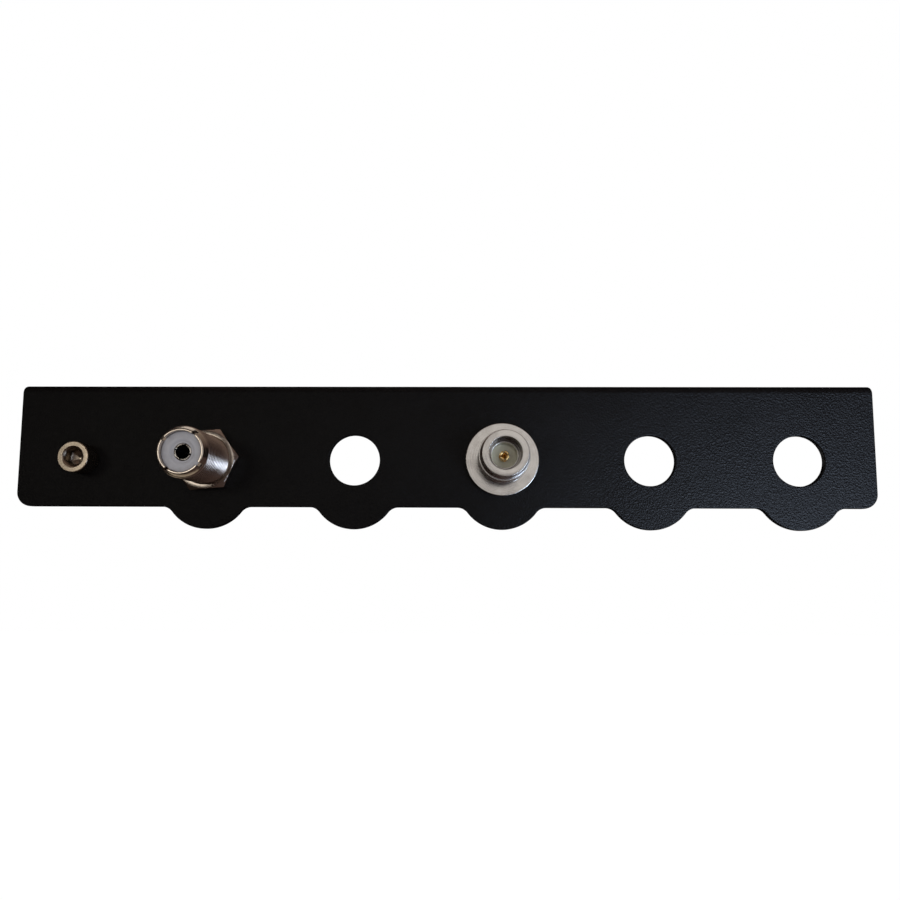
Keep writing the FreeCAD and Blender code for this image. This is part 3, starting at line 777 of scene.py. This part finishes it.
def maths(tree, operation, first, second=0.0):
    """One step of arithmetic on two values."""
    return add_node(tree, "ShaderNodeMath", {0: first, 1: second}, operation=operation).outputs[0]


def stretch(tree, value, given, wanted=(0.0, 1.0)):
    """Carry a value from one range to another, held at its ends."""
    return add_node(tree, "ShaderNodeMapRange", {
        "Value": value,
        "From Min": given[0],
        "From Max": given[1],
        "To Min": wanted[0],
        "To Max": wanted[1],
    }).outputs["Result"]


def blend_colours(tree, share, first, second):
    """Mix two colours, each a tone or another node's output."""
    tones = (first, second)
    low, high = [tone if isinstance(tone, bpy.types.NodeSocket) else (*tone, 1.0) for tone in tones]
    return add_node(tree, "ShaderNodeMix", {0: share, 6: low, 7: high}, data_type="RGBA").outputs[2]


def coloured(tree, shader, tone, rough):
    """Give the shader its colour and its roughness."""
    tree.links.new(tone, shader.inputs["Base Color"])
    tree.links.new(rough, shader.inputs["Roughness"])


def bumped(tree, shader, height, distance, strength):
    """Tilt the shader's normal by the slope of a height, whose unit stands for a distance in metres."""
    bump = add_node(tree, "ShaderNodeBump", {"Height": height, "Distance": distance, "Strength": strength})
    tree.links.new(bump.outputs["Normal"], shader.inputs["Normal"])


def from_axis(tree, place):
    """Distance from the axis, the root of the squares of X and Z, and the place's three parts."""
    parts = add_node(tree, "ShaderNodeSeparateXYZ", {0: place}).outputs
    across = maths(tree, "MULTIPLY", parts["X"], parts["X"])
    upwards = maths(tree, "MULTIPLY", parts["Z"], parts["Z"])
    return maths(tree, "SQRT", maths(tree, "ADD", across, upwards)), parts


def seen_rays(tree):
    """One for rays from the camera, a mirror or glass, and zero for the rays that light the part."""
    rays = add_node(tree, "ShaderNodeLightPath").outputs
    mirrored = maths(tree, "MAXIMUM", rays["Is Glossy Ray"], rays["Is Transmission Ray"])
    return maths(tree, "MAXIMUM", rays["Is Camera Ray"], mirrored)


# Finishes

def powder_coat():
    """Near-black coating with a leathery skin: soft pits about half a millimetre wide, finer grain on
    them, and a gloss that varies slowly over the sheet and dies away at grazing angles."""
    material, tree, shader = new_finish("powder_coat")
    place = object_place(tree)
    pits = add_node(tree, "ShaderNodeTexVoronoi", {"Vector": place, "Scale": 1800.0, "Smoothness": 0.9},
                    feature="SMOOTH_F1").outputs["Distance"]
    grain = noise(tree, place, scale=3400.0, detail=3.0, roughness=0.6)
    slow = noise(tree, place, scale=60.0, detail=3.0, roughness=0.55)
    height = maths(tree, "ADD", pits, maths(tree, "MULTIPLY", grain, 0.65))
    bumped(tree, shader, height, distance=0.000125, strength=0.9)
    deep_black, pale_black = (0.0027, 0.0023, 0.0023), (0.0038, 0.0033, 0.0034)
    tone = blend_colours(tree, stretch(tree, slow, (0.3, 0.7)), deep_black, pale_black)
    coloured(tree, shader, tone, stretch(tree, slow, (0.3, 0.7), (0.30, 0.38)))
    gloss = 0.15
    facing = add_node(tree, "ShaderNodeLayerWeight", {"Blend": 0.5}).outputs["Facing"]
    shader.inputs["Specular IOR Level"].default_value = gloss
    tree.links.new(stretch(tree, facing, (0.25, 0.5), (gloss, 0.0)), shader.inputs["Specular IOR Level"])
    return material


def painted_shade_share(tree, radius, from_middle, low, high, reach):
    """One in a hollow that is painted with shade and zero outside it, with a short fade at its ends: the
    product of three ramps, which start at its inner radius, stop past its outer one and stop at its reach
    from the middle."""
    past_low = stretch(tree, radius, (low * MM * 0.98 - 1e-6, low * MM))
    under_high = stretch(tree, radius, (high * MM * 1.01, high * MM * 1.03), (1.0, 0.0))
    in_reach = stretch(tree, from_middle, (reach * MM, (reach + 0.1) * MM), (1.0, 0.0))
    return maths(tree, "MULTIPLY", maths(tree, "MULTIPLY", past_low, under_high), in_reach)


def turned_metal(name, axis, light, dark, gloss, groove, painted_shade_hollows=(), tarnish=0.35):
    """Plated metal that was turned: fine rings, which are noise of the distance from the axis and the
    place along it, cross the gloss; slow patches darken the plating. Each hollow lies between two radii
    and within a reach from the piece's middle, in millimetres, and takes the dark tone times its last
    number as painted shade."""
    material, tree, shader = new_finish(name)
    centre, middle = axis
    place = object_place(tree, centre)
    radius, parts = from_axis(tree, place)
    turn = maths(tree, "ARCTAN2", parts["Z"], parts["X"])
    rings = add_node(tree, "ShaderNodeCombineXYZ", {
        "X": radius, "Y": parts["Y"], "Z": maths(tree, "MULTIPLY", turn, 0.00012),
    }).outputs[0]
    lines = noise(tree, rings, scale=2600.0, detail=3.0, roughness=0.65)
    patches = noise(tree, place, scale=260.0, detail=4.0, roughness=0.6)
    specks = noise(tree, place, scale=2200.0, detail=2.0, roughness=0.5)
    patchy = maths(tree, "MULTIPLY", stretch(tree, patches, (0.42, 0.72)), tarnish)
    lined = maths(tree, "MULTIPLY", stretch(tree, lines, (0.35, 0.75)), 0.25)
    tone = blend_colours(tree, maths(tree, "ADD", patchy, lined), light, dark)
    from_middle = maths(tree, "ABSOLUTE", maths(tree, "SUBTRACT", parts["Y"], middle * MM))
    # Painted shade: inside each hollow the tone becomes the dark tone times its shade
    for low, high, reach, shade in painted_shade_hollows:
        within = painted_shade_share(tree, radius, from_middle, low, high, reach)
        tone = blend_colours(tree, within, tone, tuple(channel * shade for channel in dark))
    ringed_gloss = stretch(tree, lines, (0.3, 0.7), (gloss - 0.06, gloss + 0.07))
    patchy_gloss = stretch(tree, patches, (0.35, 0.7), (-0.02, 0.06))
    coloured(tree, shader, tone, maths(tree, "ADD", ringed_gloss, patchy_gloss))
    shader.inputs["Metallic"].default_value = 1.0
    height = maths(tree, "ADD", lines, maths(tree, "MULTIPLY", specks, 0.25))
    bumped(tree, shader, height, distance=groove, strength=0.8)
    return material


def moulded_plastic(name, centre, light, dark, gloss, hole):
    """A turned plastic face: faint rings, which are noise of the distance from the axis, a cloudy tone
    and a soft gloss. The wall of its hole, whose radius is given in millimetres, is painted near-black as
    painted shade."""
    material, tree, shader = new_finish(name)
    place = object_place(tree, centre)
    radius, _ = from_axis(tree, place)
    rings = add_node(tree, "ShaderNodeCombineXYZ", {"X": radius}).outputs[0]
    lines = noise(tree, rings, scale=1800.0, detail=3.0, roughness=0.6)
    clouds = noise(tree, place, scale=320.0, detail=3.0, roughness=0.55)
    share = maths(tree, "ADD", maths(tree, "MULTIPLY", lines, 0.3), maths(tree, "MULTIPLY", clouds, 0.7))
    tone = blend_colours(tree, stretch(tree, share, (0.35, 0.65)), light, dark)
    # Painted shade: the wall of the hole round the contact is painted near-black
    wall = stretch(tree, radius, (hole * MM * 1.005, hole * MM * 1.03), (1.0, 0.0))
    tone = blend_colours(tree, wall, tone, (0.008, 0.008, 0.009))
    coloured(tree, shader, tone, stretch(tree, clouds, (0.3, 0.7), (gloss - 0.05, gloss + 0.07)))
    bumped(tree, shader, lines, distance=0.00001, strength=0.6)
    return material


def gasket_rubber():
    """Black rubber with one fine grain in its tone, its gloss and its height."""
    material, tree, shader = new_finish("gasket_rubber")
    grain = noise(tree, object_place(tree), scale=3000.0, detail=3.0, roughness=0.6)
    tone = blend_colours(tree, grain, (0.012, 0.012, 0.012), (0.03, 0.03, 0.03))
    coloured(tree, shader, tone, stretch(tree, grain, (0.3, 0.7), (0.6, 0.8)))
    bumped(tree, shader, grain, distance=0.00003, strength=1.0)
    return material


EARTH_AXIS = (EARTH, (HEAD_FRONT + SCREW_END) / 2)
BARREL_AXIS = (BARREL, BARREL_MIDDLE)
FLANGED_AXIS = (FLANGED, FLANGED_MIDDLE)
WASHER_AXIS = ((0.0, 0.0), 0.0)

# The hollows, painted with shade, are the screw's socket walls, the barrel's notches and bore, the flanged
# mouth and a contact's bore
COAT = powder_coat()
STAINLESS = turned_metal("stainless", EARTH_AXIS, light=(0.62, 0.53, 0.42), dark=(0.40, 0.33, 0.255),
                         gloss=0.20, groove=0.000004, painted_shade_hollows=[(2.47, 2.95, 20.0, 0.6)])
BARREL_PLATE = turned_metal("nickel_on_barrel", BARREL_AXIS, light=(0.76, 0.68, 0.60),
                            dark=(0.46, 0.375, 0.32), gloss=0.17, groove=0.000004,
                            painted_shade_hollows=[(6.0, 7.2, 18.95, 0.3)])
FLANGED_PLATE = turned_metal("nickel_on_flanged", FLANGED_AXIS, light=(0.72, 0.705, 0.67),
                             dark=(0.53, 0.495, 0.455), gloss=0.20, groove=0.00001,
                             painted_shade_hollows=[(4.5, 5.06, 19.9, 0.55)])
WASHER_PLATE = turned_metal("plated_washer", WASHER_AXIS, light=(0.66, 0.64, 0.60), dark=(0.5, 0.47, 0.43),
                            gloss=0.34, groove=0.000006)
SILVER = turned_metal("silver_on_contact", BARREL_AXIS, light=(0.82, 0.79, 0.74), dark=(0.6, 0.57, 0.52),
                      gloss=0.22, groove=0.000002, painted_shade_hollows=[(0.0, BARREL_CONTACT["socket"], 18.2, 0.03)],
                      tarnish=0.1)
GOLD = turned_metal("gold_on_contact", FLANGED_AXIS, light=(0.95, 0.68, 0.30), dark=(0.74, 0.47, 0.17),
                    gloss=0.22, groove=0.000002, tarnish=0.1)
GREY_PLASTIC = moulded_plastic("grey_insulator", BARREL, light=(0.43, 0.415, 0.435),
                               dark=(0.36, 0.345, 0.36), gloss=0.42, hole=BARREL_CONTACT["radius"])
PALE_PLASTIC = moulded_plastic("white_insulator", FLANGED, light=(0.65, 0.61, 0.46),
                               dark=(0.57, 0.535, 0.40), gloss=0.45, hole=FLANGED_CONTACT["radius"])
RUBBER = gasket_rubber()


# Sheet

SHEET_CREASE = 50

add_piece("sheet", sheet_surfaces(), COAT, "strip", SHEET_CREASE)

# Earth screw with the washers and nuts behind the sheet

EARTH_BORE = 3.2
EARTH_NUT = dict(width=10.0, height=5.0, face=4.75, bore=SCREW_RADIUS, seat_bevel=True)
EARTH_TEETH = dict(rim=EARTH_BORE, tip=5.5, root=4.0, count=10, gap=10.0)
TOOTHED_HEIGHT = 0.7
LUG_WASHER_HEIGHT = 1.6
LUG_RADIUS = 6.0
LUG_WASHER_EDGE = 0.2
SPLIT_HEIGHT = 1.6
SPLIT_RADIUS = 5.7
SPLIT_TURN = 12.0
FIXING_NUT_TURN = 8.0
LUG_NUT_TURN = 12.0
FIXING_NUT_SEAT = BACK_FACE + TOOTHED_HEIGHT
LUG_WASHER_SEAT = FIXING_NUT_SEAT + EARTH_NUT["height"]
SPLIT_SEAT = LUG_WASHER_SEAT + LUG_WASHER_HEIGHT
LUG_NUT_SEAT = SPLIT_SEAT + SPLIT_HEIGHT

toothed_washer = toothed_surfaces(EARTH, BACK_FACE, FIXING_NUT_SEAT, **EARTH_TEETH)
fixing_nut = nut_surfaces(EARTH, FIXING_NUT_SEAT, 1.0, turn=FIXING_NUT_TURN, **EARTH_NUT)
lug_washer = ring_surfaces(EARTH, LUG_WASHER_SEAT, SPLIT_SEAT, EARTH_BORE, LUG_RADIUS, LUG_WASHER_EDGE)
split_washer = split_washer_surfaces(EARTH, SPLIT_SEAT, LUG_NUT_SEAT, EARTH_BORE, SPLIT_RADIUS, SPLIT_TURN)
lug_nut = nut_surfaces(EARTH, LUG_NUT_SEAT, 1.0, turn=LUG_NUT_TURN, **EARTH_NUT)
for name, surfaces, node in (
    ("screw", screw_surfaces(), "earth_screw"),
    ("toothed_washer", toothed_washer, "earth_lock_washer"),
    ("fixing_nut", fixing_nut, "earth_fixing_nut"),
    ("lug_washer", lug_washer, "earth_lug_washer"),
    ("split_washer", split_washer, "earth_spring_washer"),
    ("lug_nut", lug_nut, "earth_lug_nut"),
):
    add_piece(name, surfaces, STAINLESS, node)

# Barrel and flanged connector with their nuts and washers

PANEL_NUT = dict(width=19.0, height=2.8, face=9.4, bore=THREAD_RADIUS, seat_bevel=False)
PANEL_TEETH = dict(rim=10.5, tip=8.1, root=9.5, count=14, gap=10.0)
PANEL_WASHER_HEIGHT = 0.8
SHELL_CREASE = 32
FRONT_NUT_TURN = 5.5
REAR_NUT_TURN = 12.0
REAR_NUT_SEAT = BACK_FACE + PANEL_WASHER_HEIGHT

add_piece("barrel_shell", barrel_shell_surfaces(), BARREL_PLATE, "uhf_shell",
          SHELL_CREASE)
for name, face, sign, node in (
    ("barrel_front_insulator", BARREL_FRONT + INSULATOR_RECESS, 1.0, "uhf_front_insulator"),
    ("barrel_rear_insulator", BARREL_REAR - INSULATOR_RECESS, -1.0, "uhf_rear_insulator"),
):
    add_piece(name, dished_insulator_surfaces(face, sign), GREY_PLASTIC, node)
add_piece("barrel_contact", contact_surfaces(BARREL, BARREL_FRONT, BARREL_REAR, **BARREL_CONTACT),
          SILVER, "uhf_contact")
add_piece("barrel_front_nut", nut_surfaces(BARREL, FRONT_FACE, -1.0, turn=FRONT_NUT_TURN, **PANEL_NUT),
          BARREL_PLATE, "uhf_front_nut")
add_piece("flanged_shell", flanged_shell_surfaces(), FLANGED_PLATE, "n_shell",
          SHELL_CREASE)
for prefix, centre, plate, washer_node, nut_node in (
    ("barrel_rear", BARREL, BARREL_PLATE, "uhf_lock_washer", "uhf_rear_nut"),
    ("flanged", FLANGED, FLANGED_PLATE, "n_lock_washer", "n_nut"),
):
    add_piece(prefix + "_washer", toothed_surfaces(centre, BACK_FACE, REAR_NUT_SEAT, **PANEL_TEETH),
              WASHER_PLATE, washer_node)
    add_piece(prefix + "_nut", nut_surfaces(centre, REAR_NUT_SEAT, 1.0, turn=REAR_NUT_TURN, **PANEL_NUT),
              plate, nut_node)
add_piece("flange_gasket", ring_surfaces(FLANGED, FLANGE_BACK, FRONT_FACE, HOLE_RADIUS, GASKET_RADIUS),
          RUBBER, "n_gasket")
for name, start, end, node in (
    ("flanged_front_insulator", FLANGED_FRONT + FLANGED_FACE, FLANGED_MIDDLE, "n_front_insulator"),
    ("flanged_rear_insulator", FLANGED_MIDDLE, FLANGED_REAR - FLANGED_FACE, "n_rear_insulator"),
):
    add_piece(name, ring_surfaces(FLANGED, start, end, FLANGED_CONTACT["radius"], THROAT_RADIUS),
              PALE_PLASTIC, node)
add_piece("flanged_contact", contact_surfaces(FLANGED, FLANGED_FRONT, FLANGED_REAR, **FLANGED_CONTACT),
          GOLD, "n_contact")


# Floor, light and camera, with lengths in metres and angles in degrees

WHITE = (1.0, 1.0, 1.0, 1.0)
FLOOR_HALF = 6.0
FLOOR_LEVEL = -1.0
FLOOR_TONE = (0.8, 0.8, 0.8, 1.0)
FLOOR_GLOW = 0.53
ROOM_LIGHT = 0.6
CLOTH_RADIUS = 0.95
CLOTH_POLE = 0.5
CLOTH_REACH = 145.0
CLOTH_RINGS = 44
CLOTH_POINTS = 48
WARM_WHITE = (1.0, 0.97, 0.94)

# Camera fitted to the photograph, with its sensor and lens in millimetres
SENSOR_WIDTH = 36.0
LENS = 22.993
LENS_SHIFT = 0.0546
CAMERA_PLACE = (0.004134, -0.202297, -0.052369)
CAMERA_TURN = (94.529, -0.2285, 0.6374)
NEAREST = 0.01
FARTHEST = 50.0


def add_floor():
    """A wide pale square well under the part, which hangs from its flange. Its glow is there only for
    the rays that see it, and lights nothing."""
    square = np.array([(-1, -1, 0), (1, -1, 0), (1, 1, 0), (-1, 1, 0)])
    corners = FLOOR_HALF * square + (0, 0, FLOOR_LEVEL)
    mesh = bpy.data.meshes.new("floor")
    mesh.from_pydata(corners.tolist(), [], [(0, 1, 2, 3)])
    floor = add_to_scene("floor", mesh)
    material = bpy.data.materials.new("pale_floor")
    tree = cleared_nodes(material)
    matt = add_node(tree, "ShaderNodeBsdfDiffuse", {"Color": FLOOR_TONE})
    strength = maths(tree, "MULTIPLY", seen_rays(tree), FLOOR_GLOW)
    glow = add_node(tree, "ShaderNodeEmission", {"Color": WHITE, "Strength": strength})
    both = add_node(tree, "ShaderNodeAddShader", {0: matt.outputs[0], 1: glow.outputs[0]})
    add_node(tree, "ShaderNodeOutputMaterial", {"Surface": both.outputs[0]})
    mesh.materials.append(material)


def cloth_finish():
    """Dark woven cloth that is darker on the left and paler high up, with a cream hem towards the rear."""
    material = bpy.data.materials.new("dark_cloth")
    tree = cleared_nodes(material)
    place = object_place(tree)
    weave = noise(tree, place, scale=40.0, detail=3.0, roughness=0.6)
    parts = add_node(tree, "ShaderNodeSeparateXYZ", {0: place}).outputs
    on_left = stretch(tree, parts["X"], (-0.45, -0.05), (1.0, 0.0))
    high_up = stretch(tree, parts["Z"], (0.35, 0.85))
    at_hem = stretch(tree, parts["Y"], (0.36, 0.46))
    tone = blend_colours(tree, weave, (0.073, 0.049, 0.043), (0.112, 0.075, 0.066))
    tone = blend_colours(tree, on_left, tone, (0.03, 0.021, 0.017))
    tone = blend_colours(tree, high_up, tone, (0.32, 0.24, 0.205))
    tone = blend_colours(tree, at_hem, tone, (0.55, 0.47, 0.36))
    matt = add_node(tree, "ShaderNodeBsdfDiffuse", {"Color": tone})
    add_node(tree, "ShaderNodeOutputMaterial", {"Surface": matt.outputs[0]})
    return material


def add_dark_cloth():
    """A wide sphere of dark cloth with a round opening behind the part, so that bright metal mirrors
    something dark as well as the white background. Its points go round the axis along Y at an angle
    away from the front. The camera doesn't see it, and it shades nothing."""
    away = np.radians(np.linspace(CLOTH_POLE, CLOTH_REACH, CLOTH_RINGS))[:, None]
    reach, along = CLOTH_RADIUS * np.sin(away), -CLOTH_RADIUS * np.cos(away)
    places, faces = surface(about((0.0, 0.0), reach, along, circle(CLOTH_POINTS)[None, :]), False, True)
    mesh = bpy.data.meshes.new("dark_cloth")
    mesh.from_pydata(places.tolist(), [], faces.tolist())
    mesh.materials.append(cloth_finish())
    cloth = add_to_scene("dark_cloth", mesh)
    cloth.visible_camera = False
    cloth.visible_diffuse = False
    cloth.visible_shadow = False


def add_lamp(name, place, aim, size, power, colour, spread=180.0):
    """A soft rectangular lamp, which the camera doesn't see. Its tilt and turn are the angles of the line
    from its aim to its place. A grid narrows its spread, in degrees."""
    data = bpy.data.lights.new(name, "AREA")
    data.shape = "RECTANGLE"
    data.size, data.size_y = size
    data.energy = power
    data.spread = np.radians(spread)
    data.color = colour
    lamp = add_to_scene(name, data)
    lamp.location = place
    x, y, z = np.subtract(place, aim)
    lamp.rotation_euler = (np.arctan2(np.hypot(x, y), z), 0.0, np.arctan2(x, -y))
    lamp.visible_camera = False


def add_world():
    """A white room: full white for the rays that see it, and less for those that light the part."""
    world = bpy.data.worlds.new("studio")
    bpy.context.scene.world = world
    tree = cleared_nodes(world)
    strength = stretch(tree, seen_rays(tree), (0.0, 1.0), (ROOM_LIGHT, 1.0))
    glow = add_node(tree, "ShaderNodeBackground", {"Color": WHITE, "Strength": strength})
    add_node(tree, "ShaderNodeOutputWorld", {"Surface": glow.outputs[0]})


def add_camera():
    """The photograph's view: a wide lens close in front of the strip and a little under it."""
    data = bpy.data.cameras.new("camera")
    data.sensor_width = SENSOR_WIDTH
    data.lens = LENS
    data.shift_y = LENS_SHIFT
    data.clip_start = NEAREST
    data.clip_end = FARTHEST
    camera = add_to_scene("camera", data)
    camera.location = CAMERA_PLACE
    camera.rotation_euler = np.radians(CAMERA_TURN)
    bpy.context.scene.camera = camera


add_floor()
add_world()
add_dark_cloth()
add_lamp("low_window", place=(0.295, -0.59, -0.21), aim=(-0.07, 0.0, -0.03), size=(0.20, 0.065),
         power=0.049, colour=(0.62, 0.77, 1.0))
add_lamp("right_wall", place=(0.15, -0.25, -0.11), aim=(0.11, 0.0, -0.03), size=(0.10, 0.22),
         power=0.021, colour=(0.66, 0.79, 1.0), spread=50.0)
add_lamp("right_window", place=(0.31, -0.285, -0.145), aim=(0.17, 0.0, -0.03), size=(0.22, 0.34),
         power=0.345, colour=(0.63, 0.77, 1.0), spread=54.0)
add_lamp("front_panel", place=(0.04, -0.85, 0.15), aim=(0.0, 0.0, -0.03), size=(0.55, 0.34),
         power=0.36, colour=WARM_WHITE)
add_lamp("left_strip", place=(-0.524, -0.774, 0.075), aim=(-0.1, 0.0, -0.03), size=(0.33, 0.19),
         power=0.34, colour=(1.0, 0.95, 0.86))
add_lamp("top_panel", place=(-0.36, 0.47, 0.64), aim=(0.0, 0.0, -0.02), size=(0.5, 0.4),
         power=0.33, colour=WARM_WHITE)
add_camera()
bpy.context.scene.view_settings.view_transform = "Standard"
